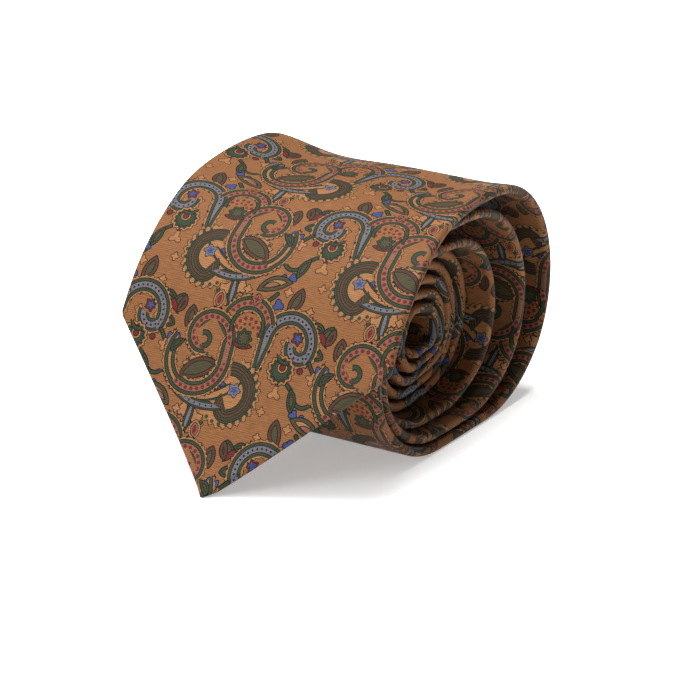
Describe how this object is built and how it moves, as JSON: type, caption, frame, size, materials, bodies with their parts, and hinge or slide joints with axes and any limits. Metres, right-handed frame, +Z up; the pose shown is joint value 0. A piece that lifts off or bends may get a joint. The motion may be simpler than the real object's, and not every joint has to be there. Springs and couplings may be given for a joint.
{
  "type": "necktie",
  "caption": "Printed silk necktie rolled up from its narrow tail, with the pointed wide end hanging free over the front of the roll.",
  "frame": {"origin": "bottom centre of the bounding box", "axes": "+X along the roll's axis, +Y away from the hanging wide end, +Z up"},
  "size_m": [0.0922, 0.1336, 0.0765],
  "materials": {
    "silk": "printed silk twill, satin",
    "lining": "plain acetate, satin",
    "interlining": "brushed wool, matt",
    "thread": "twisted silk thread",
    "label": "woven damask, satin"
  },
  "bodies": {
    "roll": {"blade_shell": "silk", "blade_interlining": "interlining", "brand_label": "label", "brand_label_stitches": "thread", "keeper_loop": "silk", "keeper_loop_stitches": "thread", "care_label": "label", "slip_stitch": "thread", "blade_neck_seam": "silk", "neck_shell": "silk", "neck_tail_seam": "silk", "tail_shell": "silk", "tail_interlining": "interlining", "tail_tipping": "lining", "tail_bar_tack": "thread"},
    "wide_end": {"point_shell": "silk", "front_tipping": "lining", "point_interlining": "interlining", "front_hem_stitches": "thread", "front_bar_tack": "thread", "thread_reserve": "thread"}
  },
  "joints": [
    {"name": "wide_end_lift", "type": "hinge", "parent": "roll", "child": "wide_end", "pos_m": [0, -0.00096, 0.07502], "axis": [-1, 0, 0], "range_deg": [0, 60]}
  ]
}
